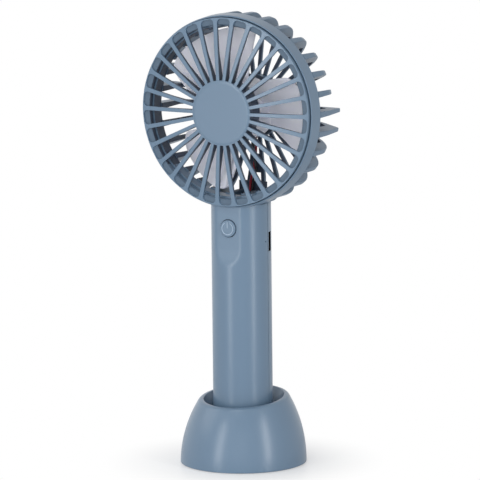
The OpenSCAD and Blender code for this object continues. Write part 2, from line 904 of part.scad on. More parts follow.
// Push button with a flange behind the wall and a stem to the switch.
module power_button() {
    stem_end = -switch_h - plunger_out;
    flange_y = scoop_in_y + run_gap;
    face_y = scoop_y - button_out;
    color(skin)
        union() {
            bar_y(0, button_z, button_r, face_y, flange_y + eps);
            bar_y(0, button_z, button_r + 0.9, flange_y, flange_y + flange_t);
            bar_y(0, button_z, 2, flange_y, stem_end);
            // Raised power mark: an open ring and a bar.
            difference() {
                bar_y(0, button_z, mark_r, face_y - mark_t, face_y + 0.2);
                bar_y(0, button_z, mark_r - mark_w, face_y - 2, face_y + 1);
                block([-1.2, -30, button_z], [1.2, 0, button_z + 5]);
            }
            block([-mark_w / 2, face_y - mark_t, button_z + 0.2], [mark_w / 2, face_y + 0.2, button_z + mark_r + 0.4]);
        }
}

// Moving pin of the switch.
module switch_plunger() {
    color(dark)
        bar_y(0, button_z, plunger_r, -switch_h - plunger_out, -switch_h + 1.8);
}

// Body of the switch.
module switch_body() {
    color(steel)
        difference() {
            block([-switch_w / 2, -switch_h, button_z - switch_w / 2], [switch_w / 2, 0, button_z + switch_w / 2]);
            bar_y(0, button_z, plunger_r + run_gap, -switch_h - 1, -switch_h + 1.8 + button_travel + run_gap);
        }
}

// Circuit board on the parting plane.
module circuit_board() {
    color(green)
        block([-board_w / 2, 0, board_lo_z], [board_w / 2, board_t, board_hi_z]);
}

// Small parts on the board.
module board_parts() {
    color(dark) {
        block([-5, -1.5, board_lo_z + 5], [0, 0, board_lo_z + 10]);
        block([2, -2.2, board_lo_z + 4], [7, 0, board_lo_z + 9]);
        block([-7, board_t, slot_z - 4], [-2, board_t + 1.5, slot_z + 2]);
    }
}

// Indicator lamp behind its hole.
module charge_led() {
    color([0.95, 0.95, 0.90])
        block([board_w / 2 - 1.9, -2.5, lamp_z - 0.8], [board_w / 2 - 0.3, 0, lamp_z + 0.8]);
}

// Metal shell of the charging socket, open to the side.
module usb_shell() {
    color(steel)
        difference() {
            block([usb_x - usb_len, board_t, slot_z - usb_w / 2], [usb_x, board_t + usb_h, slot_z + usb_w / 2]);
            block([usb_x - usb_len + 0.4, board_t + 0.3, slot_z - usb_w / 2 + 0.3],
                [usb_x + 1, board_t + usb_h - 0.3, slot_z + usb_w / 2 - 0.3]);
        }
}

// Contact tongue in the socket.
module usb_tongue() {
    color(dark)
        block([usb_x - usb_len + 0.4, usb_y - 0.3, slot_z - 2.4], [usb_x - 0.8, usb_y + 0.3, slot_z + 2.4]);
}

// Rechargeable cell with its raised terminal.
module battery_cell() {
    color([0.16, 0.35, 0.55])
        translate([0, 0, cell_z])
            cylinder(h = cell_len, r = cell_r);
}

// Welded strips on both ends of the cell.
module battery_tabs() {
    color(steel) {
        block([-4, -3, cell_top_z], [5, 3, cell_top_z + tab_t]);
        block([-6, -3, cell_z - tab_t], [4, 3, cell_z]);
    }
}

module battery_wire_red() {
    y = board_t + wire_r + press_gap;
    z = cell_top_z + tab_t + wire_r;
    color([0.75, 0.08, 0.08])
        wire([[2, 1, z + press_gap], [4.4, 1.2, z + 0.25], [6.4, 1.8, z + 1.6],
            [6.8, y, screw_hi_z + 1], [6, y, board_lo_z + 1.5], [6, y, board_lo_z + 4.5]], wire_r, [0, 1, 0]);
}

module battery_wire_black() {
    y = board_t + wire_r + press_gap;
    x = -(cell_r + bore_r) / 2;
    color(dark)
        wire([[-2, 1, cell_z - tab_t - wire_r], [-5.5, 1.2, cell_z - tab_t - wire_r], [-9.6, 1.8, cell_z - 0.8],
            [x, y, cell_z + 4], [x, y, cell_z + 20], [x, y, cell_top_z - 20], [x, y, cell_top_z - 2],
            [x + 2.6, y, screw_hi_z + 1.5], [-7.4, y, board_lo_z + 2], [-7, y, board_lo_z + 5]], wire_r, [0, 1, 0]);
}

base_dome();
base_plate();
base_pad();
front_housing();
rear_housing();
front_grille();
handle_screws();
impeller();
rotor_yoke();
magnet_ring();
motor_shaft();
shaft_clip();
bearing_tube();
sleeve_bearing();
stator_core();
stator_coils();
stator_spacer();
motor_board();
motor_wire_red();
motor_wire_black();
power_button();
switch_plunger();
switch_body();
circuit_board();
board_parts();
charge_led();
usb_shell();
usb_tongue();
battery_cell();
battery_tabs();
battery_wire_red();
battery_wire_black();
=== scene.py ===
"""Handheld fan on a domed desk stand: dressed pieces, finishes, studio and camera."""
import math

import bmesh
import bpy
from bpy.props import FloatProperty, FloatVectorProperty, IntProperty, PointerProperty
from mathutils import Matrix, Vector


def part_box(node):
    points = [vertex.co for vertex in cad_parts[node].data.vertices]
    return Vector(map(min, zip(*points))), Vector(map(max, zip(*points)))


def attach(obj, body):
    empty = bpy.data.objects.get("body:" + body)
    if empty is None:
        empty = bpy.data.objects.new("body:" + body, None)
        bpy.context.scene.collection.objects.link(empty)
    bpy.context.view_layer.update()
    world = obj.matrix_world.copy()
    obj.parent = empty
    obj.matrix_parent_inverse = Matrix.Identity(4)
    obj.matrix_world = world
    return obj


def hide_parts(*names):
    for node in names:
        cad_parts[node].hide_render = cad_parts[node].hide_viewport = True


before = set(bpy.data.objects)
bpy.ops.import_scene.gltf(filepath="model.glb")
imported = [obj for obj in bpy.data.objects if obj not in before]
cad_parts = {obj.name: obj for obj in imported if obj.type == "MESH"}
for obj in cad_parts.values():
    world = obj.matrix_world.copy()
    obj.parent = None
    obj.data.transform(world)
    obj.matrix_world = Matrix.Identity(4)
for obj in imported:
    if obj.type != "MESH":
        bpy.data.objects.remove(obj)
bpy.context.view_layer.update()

bl_info = {
    "name": "Handheld Fan",
    "version": (1, 0, 0),
    "blender": (4, 5, 0),
    "location": "3D View > Sidebar > Fan",
    "description": "Dresses a packed handheld fan and its desk stand and sets up a small studio",
    "category": "Object",
}

MM = 0.001
HEAD_Z = (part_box("front_grille")[0].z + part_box("front_grille")[1].z) / 2 / MM
HEAD = Matrix.Translation((0, 0, HEAD_Z)) @ Matrix.Rotation(math.radians(90), 4, "X")
TO_METRES = Matrix.Scale(MM, 4)
# Points closer than this are one, in millimetres.
MERGE = 1e-4
# Walls inside the head lower than this, from the middle of the head, catch light from the table, so they get
# no painted shade and stay pale.
PALE_BELOW = -30


# Properties

def length(name, text, millimetres):
    """A length that shows in the sidebar, kept in metres."""
    return FloatProperty(name=name, description=text, default=millimetres * MM, unit="LENGTH", precision=5)


def tint(name, text, red, green, blue):
    """A colour given as it looks on screen, kept as linear light."""
    def linear(c):
        c /= 255
        return c / 12.92 if c <= 0.04045 else ((c + 0.055) / 1.055) ** 2.4
    return FloatVectorProperty(name=name, description=text, subtype="COLOR", size=3, min=0, max=1,
                               default=(linear(red), linear(green), linear(blue)))


def angle(name, text, degrees):
    """An angle that shows in the sidebar, kept in radians."""
    return FloatProperty(name=name, description=text, default=math.radians(degrees), subtype="ANGLE")


class FanSizes(bpy.types.PropertyGroup):
    """Sizes of the dressed pieces."""
    handle_radius: length("Handle radius", "Radius of the straight handle", 15.9)
    handle_foot: length("Handle foot", "Height of the handle end above the table", 14)
    scoop_depth: length("Scoop depth", "Depth of the thumb scoop", 2)
    scoop_foot: length("Scoop foot", "Height at which the flat of the scoop starts", 117.4)
    ramp_foot: length("Ramp foot", "Height at which the ramp of the scoop starts", 108.2)
    scoop_soft: length("Scoop edge", "Softness of the scoop edge", 0.6)
    button_height: length("Button height", "Height of the power button above the table", 127.8)
    button_radius: length("Button radius", "Radius of the power button", 4.5)
    edge: length("Edge", "Rounding of moulded edges", 0.3)
    spokes: IntProperty(name="Spokes", description="Spokes of the front guard", default=30, min=12)
    fins: IntProperty(name="Fins", description="Fins of the rear cage", default=30, min=12)
    blades: IntProperty(name="Blades", description="Blades of the impeller", default=3, min=2)


class FanColours(bpy.types.PropertyGroup):
    """Colours of the finishes."""
    shell: tint("Shell", "Blue-grey satin plastic of stand, handle and head", 102, 125, 147)
    shell_deep: tint("Shell shade", "Darker tone in the moulded plastic", 100, 123, 145)
    blade: tint("Blade", "Pale lavender plastic of the impeller", 244, 245, 254)
    blade_deep: tint("Blade shade", "Darker tone in the blade plastic", 236, 237, 248)
    # This colour is painted shade: a dark navy that stands in for the shade inside the cage, between the
    # guard's spokes and round the button.
    shadow: tint("Painted inner shade", "Dark inner walls of the cage, the guard and the button's hole", 58, 70, 88)
    steel: tint("Steel", "Bare steel", 178, 180, 184)
    brass: tint("Brass", "Turned brass", 190, 158, 92)
    copper: tint("Copper", "Varnished copper wire", 176, 100, 62)
    board: tint("Board", "Green circuit board", 30, 92, 60)
    dark: tint("Dark plastic", "Dark plastic and rubber", 34, 36, 40)
    red: tint("Red lead", "Red insulation", 150, 24, 44)
    # This colour is a painted highlight: a paler tone on the top of the raised power mark, where light
    # catches it.
    mark: tint("Mark", "Paler power mark on the button", 150, 170, 190)
    black: tint("Black lead", "Black insulation", 26, 27, 30)
    wrap: tint("Cell wrap", "Wrap of the battery cell", 52, 96, 140)
    lens: tint("Lamp", "Lens of the charging lamp", 225, 228, 220)


class FanStudio(bpy.types.PropertyGroup):
    """Camera and light."""
    azimuth: angle("Azimuth", "Camera angle from the front", 29.35)
    elevation: angle("Elevation", "Camera angle above the table", 8.88)
    roll: angle("Roll", "Tilt of the picture", -0.59)
    distance: length("Distance", "Camera distance to the aim point", 2122.2)
    aim: length("Aim", "Height of the aim point", 119.38)
    lens: FloatProperty(name="Lens", description="Focal length in millimetres", default=300, unit="CAMERA")
    key: FloatProperty(name="Softbox", description="Power that the lights share out", default=4.0,
                       subtype="POWER")
    sky: FloatProperty(name="Ambient", description="Strength of the even light", default=0.26)


# Mesh helpers, all in millimetres until a piece is finished

def arc(cx, cy, radius, start, end, steps):
    """Points on an arc, in degrees."""
    turns = [math.radians(start + (end - start) * i / steps) for i in range(steps + 1)]
    return [(cx + radius * math.cos(a), cy + radius * math.sin(a)) for a in turns]


def turned(degrees, axis):
    """Turn about an axis through the origin."""
    return Matrix.Rotation(math.radians(degrees), 4, axis)


def off_axis(point):
    """Distance of a point from the Z axis."""
    return math.hypot(point.x, point.y)


def everything(bm):
    """All of a bmesh, for an operator."""
    return bm.verts[:] + bm.edges[:] + bm.faces[:]


def lathe(profile, steps):
    """Closed profile of radius and height, spun round the Z axis."""
    bm = bmesh.new()
    verts = [bm.verts.new((r, 0, z)) for r, z in profile]
    pairs = zip(verts, verts[1:] + verts[:1])
    edges = [bm.edges.new(pair) for pair in pairs if max(v.co.x for v in pair) > 1e-6]
    bmesh.ops.spin(bm, geom=verts + edges, cent=(0, 0, 0), axis=(0, 0, 1), angle=math.tau, steps=steps,
                   use_merge=True, use_duplicate=False)
    bmesh.ops.remove_doubles(bm, verts=bm.verts, dist=MERGE)
    return bm


def prism(outline, depth):
    """Outline in X and Y, extruded from Z = 0 to a depth."""
    bm = bmesh.new()
    face = bm.faces.new([bm.verts.new((x, y, 0)) for x, y in outline])
    made = bmesh.ops.extrude_face_region(bm, geom=[face])["geom"]
    top = [v for v in made if isinstance(v, bmesh.types.BMVert)]
    bmesh.ops.translate(bm, verts=top, vec=(0, 0, depth))
    return bm


def drum(radius, low, high, matrix, steps):
    """Closed cylinder along Z, then moved by a matrix."""
    bm = bmesh.new()
    bmesh.ops.create_cone(bm, cap_ends=True, cap_tris=False, segments=steps, radius1=radius, radius2=radius,
                          depth=high - low, matrix=matrix @ Matrix.Translation((0, 0, (low + high) / 2)))
    return bm


def brick(low, high):
    """Closed box between two corners."""
    bm = bmesh.new()
    size = Vector(high) - Vector(low)
    middle = (Vector(high) + Vector(low)) / 2
    bmesh.ops.create_cube(bm, size=1, matrix=Matrix.Translation(middle) @ Matrix.Diagonal((*size, 1)))
    return bm


def outwards(bm):
    """Turns all faces outwards."""
    bmesh.ops.recalc_face_normals(bm, faces=bm.faces)


def tidy(bm):
    """Merges doubles, drops slivers and turns all faces outwards."""
    bmesh.ops.remove_doubles(bm, verts=bm.verts, dist=MERGE)
    bmesh.ops.dissolve_degenerate(bm, edges=bm.edges, dist=MERGE / 10)
    loose = [v for v in bm.verts if not v.link_faces]
    bmesh.ops.delete(bm, geom=loose, context="VERTS")
    outwards(bm)


def sharp_edges(bm, degrees):
    """Edges whose faces meet at more than an angle."""
    limit = math.radians(degrees)
    return [e for e in bm.edges if len(e.link_faces) == 2 and e.calc_face_angle(0) > limit]


def round_edges(bm, edges, offset, segments):
    """Rounds edges."""
    bmesh.ops.bevel(bm, geom=edges, offset=offset, offset_type="OFFSET", affect="EDGES", segments=segments,
                    profile=0.5, material=-1, clamp_overlap=True)


def mesh_object(bm, name):
    """Puts a bmesh into a new object."""
    mesh = bpy.data.meshes.new(name)
    bm.to_mesh(mesh)
    bm.free()
    obj = bpy.data.objects.new(name, mesh)
    bpy.context.scene.collection.objects.link(obj)
    return obj


def add_mesh(bm, other):
    """Adds one bmesh to another."""
    mesh = bpy.data.meshes.new("part")
    tidy(other)
    other.to_mesh(mesh)
    other.free()
    bm.from_mesh(mesh)
    bpy.data.meshes.remove(mesh)


def carve(bm, cutters, operation="DIFFERENCE"):
    """Cuts closed shapes out of a closed shape."""
    tidy(bm)
    work = mesh_object(bm, "work")
    for cutter in cutters:
        tidy(cutter)
        tool = mesh_object(cutter, "tool")
        step = work.modifiers.new("cut", "BOOLEAN")
        step.operation = operation
        step.solver = "EXACT"
        step.object = tool
        graph = bpy.context.evaluated_depsgraph_get()
        mesh = bpy.data.meshes.new_from_object(work.evaluated_get(graph))
        work.modifiers.clear()
        old = work.data
        work.data = mesh
        bpy.data.meshes.remove(old)
        bpy.data.meshes.remove(tool.data)
    result = bmesh.new()
    result.from_mesh(work.data)
    bpy.data.meshes.remove(work.data)
    if not result.faces:
        raise RuntimeError("a cut left nothing")
    return result


def finish_piece(bm, name, matrix=Matrix.Identity(4), smooth=38):
    """Writes a bmesh in millimetres to a new object in metres."""
    tidy(bm)
    bm.transform(TO_METRES @ matrix)
    obj = mesh_object(bm, name)
    for face in obj.data.polygons:
        face.use_smooth = True
    obj.data.set_sharp_from_angle(angle=math.radians(smooth))
    weights = obj.modifiers.new("face weights", "WEIGHTED_NORMAL")
    weights.keep_sharp = True
    return obj


def dress(obj, body, node, coat):
    """Makes a piece stand for a CAD node: gives it a finish, puts it on the node's body and hides the node.
    """
    obj.data.materials.clear()
    obj.data.materials.append(finish(coat))
    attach(obj, body)
    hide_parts(node)


def shade(obj, coat, test):
    """Gives the faces that pass a test another finish; the test sees millimetres along the head axis."""
    obj.data.materials.append(finish(coat))
    back = HEAD.inverted()
    for face in obj.data.polygons:
        if test(back @ (face.center / MM), back.to_3x3() @ face.normal):
            face.material_index = len(obj.data.materials) - 1


# Finishes

def preset(node, values):
    """Sets inputs of a node by name."""
    for name, value in values.items():
        node.inputs[name].default_value = value


def noise(nodes, links, vector, scale, detail):
    """Noise value on a vector."""
    node = nodes.new("ShaderNodeTexNoise")
    preset(node, {"Scale": scale, "Detail": detail})
    links.new(vector, node.inputs["Vector"])
    return node.outputs["Fac"]


def math_node(nodes, links, operation, *values):
    """Math node fed by numbers or sockets."""
    node = nodes.new("ShaderNodeMath")
    node.operation = operation
    for i, value in enumerate(values):
        if isinstance(value, (int, float)):
            node.inputs[i].default_value = value
        else:
            links.new(value, node.inputs[i])
    return node.outputs[0]


def colour_mix(nodes):
    """Mix node for colours, and its colour output."""
    mix = nodes.new("ShaderNodeMix")
    mix.data_type = "RGBA"
    return mix, [socket for socket in mix.outputs if socket.type == "RGBA"][0]


def blank(name, colour):
    """Nodes, links, shader and object coordinates of a new material."""
    material = bpy.data.materials.new(name)
    material.use_nodes = True
    material.diffuse_color = (*colour, 1)
    nodes = material.node_tree.nodes
    place = nodes.new("ShaderNodeTexCoord").outputs["Object"]
    return nodes, material.node_tree.links, nodes["Principled BSDF"], place


def relief(nodes, links, shader, height, strength, distance):
    """Bump on a shader, from a height."""
    bump = nodes.new("ShaderNodeBump")
    preset(bump, {"Strength": strength, "Distance": distance})
    links.new(height, bump.inputs["Height"])
    links.new(bump.outputs["Normal"], shader.inputs["Normal"])


def deeper(colour, factor):
    """Darker tone of a colour."""
    return [channel * factor for channel in colour]


def moulded_group():
    """Node group for moulded plastic: cloudy tone, fine spark-eroded grain and faint flow marks."""
    name = "moulded plastic"
    if name in bpy.data.node_groups:
        return bpy.data.node_groups[name]
    group = bpy.data.node_groups.new(name, "ShaderNodeTree")
    colour, number = "NodeSocketColor", "NodeSocketFloat"
    inputs = {"Vector": "NodeSocketVector", "Colour": colour, "Shade": colour, "Roughness": number,
              "Spread": number, "Grain": number}
    for label, kind in inputs.items():
        group.interface.new_socket(label, in_out="INPUT", socket_type=kind)
    for label, kind in {"Colour": colour, "Roughness": number, "Height": number}.items():
        group.interface.new_socket(label, in_out="OUTPUT", socket_type=kind)
    nodes, links = group.nodes, group.links
    enter, leave = nodes.new("NodeGroupInput"), nodes.new("NodeGroupOutput")
    cloud = noise(nodes, links, enter.outputs["Vector"], 42, 3)
    streak_map = nodes.new("ShaderNodeMapping")
    preset(streak_map, {"Scale": (1, 1, 0.12)})
    links.new(enter.outputs["Vector"], streak_map.inputs["Vector"])
    streak = noise(nodes, links, streak_map.outputs["Vector"], 260, 2)
    most = math_node(nodes, links, "MULTIPLY", cloud, 0.8)
    both = math_node(nodes, links, "MULTIPLY_ADD", streak, 0.2, most)
    ramp = nodes.new("ShaderNodeMapRange")
    preset(ramp, {"From Min": 0.15, "From Max": 0.85})
    links.new(both, ramp.inputs["Value"])
    mix, mixed = colour_mix(nodes)
    links.new(ramp.outputs["Result"], mix.inputs["Factor"])
    links.new(enter.outputs["Shade"], mix.inputs["A"])
    links.new(enter.outputs["Colour"], mix.inputs["B"])
    links.new(mixed, leave.inputs["Colour"])
    fine = noise(nodes, links, enter.outputs["Vector"], 1, 2)
    links.new(enter.outputs["Grain"], fine.node.inputs["Scale"])
    links.new(fine, leave.inputs["Height"])
    centred = math_node(nodes, links, "SUBTRACT", both, 0.5)
    spread, base = enter.outputs["Spread"], enter.outputs["Roughness"]
    rough = math_node(nodes, links, "MULTIPLY_ADD", centred, spread, base)
    links.new(rough, leave.inputs["Roughness"])
    return group


def moulded(name, colour, deep, roughness, spread=0.08, grain=2600, bump=0.02, specular=0.5, subsurface=0.0):
    """Moulded plastic, rubber or lacquer."""
    nodes, links, shader, place = blank(name, colour)
    group = nodes.new("ShaderNodeGroup")
    group.node_tree = moulded_group()
    preset(group, {"Colour": (*colour, 1), "Shade": (*deep, 1), "Roughness": roughness, "Spread": spread,
                   "Grain": grain})
    links.new(place, group.inputs["Vector"])
    links.new(group.outputs["Colour"], shader.inputs["Base Color"])
    links.new(group.outputs["Roughness"], shader.inputs["Roughness"])
    relief(nodes, links, shader, group.outputs["Height"], bump, 0.2 * MM)
    preset(shader, {"Specular IOR Level": specular})
    if subsurface:
        preset(shader, {"Subsurface Weight": subsurface, "Subsurface Radius": (2 * MM, 2 * MM, 2.6 * MM)})


def metal(name, colour, roughness, stretch=(1, 1, 1)):
    """Bare metal with drawn or turned marks."""
    nodes, links, shader, place = blank(name, colour)
    mapping = nodes.new("ShaderNodeMapping")
    preset(mapping, {"Scale": stretch})
    links.new(place, mapping.inputs["Vector"])
    marks = noise(nodes, links, mapping.outputs["Vector"], 900, 4)
    centred = math_node(nodes, links, "SUBTRACT", marks, 0.5)
    rough = math_node(nodes, links, "MULTIPLY_ADD", centred, 0.3, roughness)
    links.new(rough, shader.inputs["Roughness"])
    mix, mixed = colour_mix(nodes)
    links.new(marks, mix.inputs["Factor"])
    preset(mix, {"A": (*deeper(colour, 0.86), 1), "B": (*colour, 1)})
    links.new(mixed, shader.inputs["Base Color"])
    relief(nodes, links, shader, marks, 0.05, 0.1 * MM)
    preset(shader, {"Metallic": 1})


def finish(name):
    """A finish by name."""
    if name not in bpy.data.materials:
        raise RuntimeError("finish %s is missing" % name)
    return bpy.data.materials[name]


# Operators

class FAN_OT_finishes(bpy.types.Operator):
    """Builds the finishes and puts them on the pieces that stay as they are"""
    bl_idname = "fan.finishes"
    bl_label = "Finishes"

    def execute(self, context):
        c = context.scene.fan_colours
        moulded("shell satin", c.shell, c.shell_deep, 0.30)
        # Darker copy of the shell satin for the fins: painted shade.
        moulded("cage painted shade", deeper(c.shell, 0.94), deeper(c.shell_deep, 0.94), 0.36, specular=0.3)
        moulded("stand satin", c.shell, c.shell_deep, 0.28, spread=0.02, bump=0.006)
        moulded("blade satin", c.blade, c.blade_deep, 0.38, spread=0.1, subsurface=0.15)
        moulded("pad rubber", c.dark, deeper(c.dark, 0.7), 0.75, grain=1500, bump=0.2, specular=0.35)
        # Dark navy finish for walls inside the head and the button's gap: painted shade.
        moulded("painted inner shade", c.shadow, deeper(c.shadow, 0.8), 0.5, bump=0.03)
        moulded("dark plastic", c.dark, deeper(c.dark, 0.75), 0.5)
        # Darker copy of the shell satin for the floor of the guard's channel: painted shade.
        moulded("channel painted shade", deeper(c.shell, 0.7), deeper(c.shell_deep, 0.62), 0.4, specular=0.3)
        # Paler finish on the top of the raised power mark: painted highlight.
        moulded("mark painted highlight", c.mark, deeper(c.mark, 0.94), 0.35)
        # Near-black finish on the walls of the charging slot: painted shade.
        moulded("socket painted shade", deeper(c.black, 0.25), deeper(c.black, 0.2), 0.6, specular=0.2)
        moulded("red lead", c.red, deeper(c.red, 0.8), 0.4)
        moulded("black lead", c.black, deeper(c.black, 0.7), 0.42)
        moulded("board lacquer", c.board, deeper(c.board, 0.7), 0.3)
        moulded("cell wrap", c.wrap, deeper(c.wrap, 0.85), 0.28)
        moulded("lamp lens", c.lens, deeper(c.lens, 0.92), 0.2)
        moulded("white collar", c.lens, deeper(c.lens, 0.9), 0.5)
        metal("drawn steel", c.steel, 0.32)
        metal("turned brass", c.brass, 0.3)
        metal("coil copper", c.copper, 0.4, stretch=(1, 6, 1))
        worn = {
            "shell satin": ("front_housing", "rear_housing", "front_grille", "power_button"),
            "stand satin": ("base_dome", "base_plate"),
            "blade satin": ("impeller",),
            "pad rubber": ("base_pad",),
            "dark plastic": ("magnet_ring", "shaft_clip", "switch_plunger", "board_parts", "usb_tongue"),
            "red lead": ("motor_wire_red", "battery_wire_red"),
            "black lead": ("motor_wire_black", "battery_wire_black"),
            "board lacquer": ("motor_board", "circuit_board"),
            "cell wrap": ("battery_cell",),
            "lamp lens": ("charge_led",),
            "white collar": ("stator_spacer",),
            "drawn steel": ("handle_screws", "rotor_yoke", "motor_shaft", "stator_core", "switch_body",
                            "usb_shell", "battery_tabs"),
            "turned brass": ("bearing_tube", "sleeve_bearing"),
            "coil copper": ("stator_coils",),
        }
        for name, nodes in worn.items():
            for node in nodes:
                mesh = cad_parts[node].data
                if not mesh.materials:
                    mesh.materials.append(None)
                for i in range(len(mesh.materials)):
                    mesh.materials[i] = finish(name)
        return {"FINISHED"}


def direction(azimuth, elevation):
    """Unit vector towards a place round the object; azimuth 0 is the front."""
    level = math.cos(elevation)
    return Vector((math.sin(azimuth) * level, -math.cos(azimuth) * level, math.sin(elevation)))


class FAN_OT_studio(bpy.types.Operator):
    """Sets up the floor, the soft light and the camera"""
    bl_idname = "fan.studio"
    bl_label = "Studio"

    # Side of the square picture and the shift of its middle, in pixels
    picture = 480
    shift_right = -1.41
    shift_up = 0.51

    def execute(self, context):
        s = context.scene.fan_studio
        scene = context.scene
        scene.view_settings.view_transform = "Standard"
        self.camera(scene, s)
        self.lights(scene, s)
        self.world(scene, s)
        self.floor()
        return {"FINISHED"}

    def camera(self, scene, s):
        """Long lens, a little above the table."""
        back = direction(s.azimuth, s.elevation)
        right = Vector((math.cos(s.azimuth), math.sin(s.azimuth), 0))
        up = back.cross(right)
        across = math.cos(s.roll) * right + math.sin(s.roll) * up
        upright = -math.sin(s.roll) * right + math.cos(s.roll) * up
        turn = Matrix((across, upright, back)).transposed()
        data = bpy.data.cameras.new("camera")
        data.sensor_width = 36
        data.sensor_fit = "HORIZONTAL"
        data.lens = s.lens
        data.shift_x = self.shift_right / self.picture
        data.shift_y = self.shift_up / self.picture
        data.clip_end = 20
        camera = bpy.data.objects.new("camera", data)
        camera.matrix_world = Matrix.Translation(Vector((0, 0, s.aim)) + back * s.distance) @ turn.to_4x4()
        scene.collection.objects.link(camera)
        scene.camera = camera

    def lights(self, scene, s):
        """Narrow softboxes that draw the highlights, and wide fills that gloss doesn't show."""
        middle = Vector((0, 0, 0.12))
        # Name, angle from the camera, elevation, distance, width, height and share of the power
        spots = (("softbox left", -47, 9, 1.1, 0.2, 1.0, 0.96),
                 ("softbox right", 45, 11, 1.1, 0.18, 1.0, 1.12),
                 ("panel left", -92, 30, 1.1, 0.6, 0.6, 0.4),
                 ("softbox above", -30, 60, 1.2, 0.45, 0.4, 0.34),
                 ("fill back left", -135, 20, 1.3, 1.0, 1.0, 0.9),
                 ("fill back", 175, 15, 1.3, 1.2, 1.0, 0.9),
                 ("fill front", -8, 14, 1.6, 0.9, 0.9, 2.1))
        for name, side, height, away, wide, tall, share in spots:
            data = bpy.data.lights.new(name, "AREA")
            data.shape = "RECTANGLE"
            data.size = wide
            data.size_y = tall
            data.energy = s.key * share
            way = direction(s.azimuth + math.radians(side), math.radians(height))
            light = bpy.data.objects.new(name, data)
            light.location = middle + way * away
            light.rotation_euler = way.to_track_quat("Z", "Y").to_euler()
            light.visible_camera = False
            light.visible_glossy = not name.startswith("fill")
            scene.collection.objects.link(light)

    def world(self, scene, s):
        """Even light, behind a white that the camera, gloss and glass see."""
        world = bpy.data.worlds.new("studio")
        world.use_nodes = True
        nodes, links = world.node_tree.nodes, world.node_tree.links
        nodes.clear()
        path = nodes.new("ShaderNodeLightPath").outputs
        seen = nodes.new("ShaderNodeBackground")
        preset(seen, {"Color": (1, 1, 1, 1)})
        even = nodes.new("ShaderNodeBackground")
        preset(even, {"Color": (0.97, 0.98, 1, 1), "Strength": s.sky})
        mix = nodes.new("ShaderNodeMixShader")
        out = nodes.new("ShaderNodeOutputWorld")
        sharp = math_node(nodes, links, "MAXIMUM", path["Is Glossy Ray"], path["Is Transmission Ray"])
        clear = math_node(nodes, links, "MAXIMUM", sharp, path["Is Camera Ray"])
        links.new(clear, mix.inputs["Fac"])
        links.new(even.outputs[0], mix.inputs[1])
        links.new(seen.outputs[0], mix.inputs[2])
        links.new(mix.outputs[0], out.inputs["Surface"])
        scene.world = world

    def floor(self):
        """Pale paper that keeps the shadow near the stand and fades to white further out."""
        bm = bmesh.new()
        bmesh.ops.create_circle(bm, cap_ends=True, segments=96, radius=0.4)
        floor = mesh_object(bm, "floor")
        pale = (0.93, 0.935, 0.945)
        nodes, links, paper, place = blank("floor paper", pale)
        preset(paper, {"Base Color": (*pale, 1), "Roughness": 0.4})
        glow = nodes.new("ShaderNodeEmission")
        far = nodes.new("ShaderNodeVectorMath")
        far.operation = "LENGTH"
        links.new(place, far.inputs[0])
        fade = nodes.new("ShaderNodeMapRange")
        fade.interpolation_type = "SMOOTHSTEP"
        preset(fade, {"From Min": 0.02, "From Max": 0.08, "To Min": 0.28})
        links.new(far.outputs["Value"], fade.inputs["Value"])
        path = nodes.new("ShaderNodeLightPath")
        seen = math_node(nodes, links, "MULTIPLY", fade.outputs["Result"], path.outputs["Is Camera Ray"])
        mix = nodes.new("ShaderNodeMixShader")
        links.new(seen, mix.inputs["Fac"])
        links.new(paper.outputs[0], mix.inputs[1])
        links.new(glow.outputs[0], mix.inputs[2])
        links.new(mix.outputs[0], nodes["Material Output"].inputs["Surface"])
        floor.data.materials.append(finish("floor paper"))


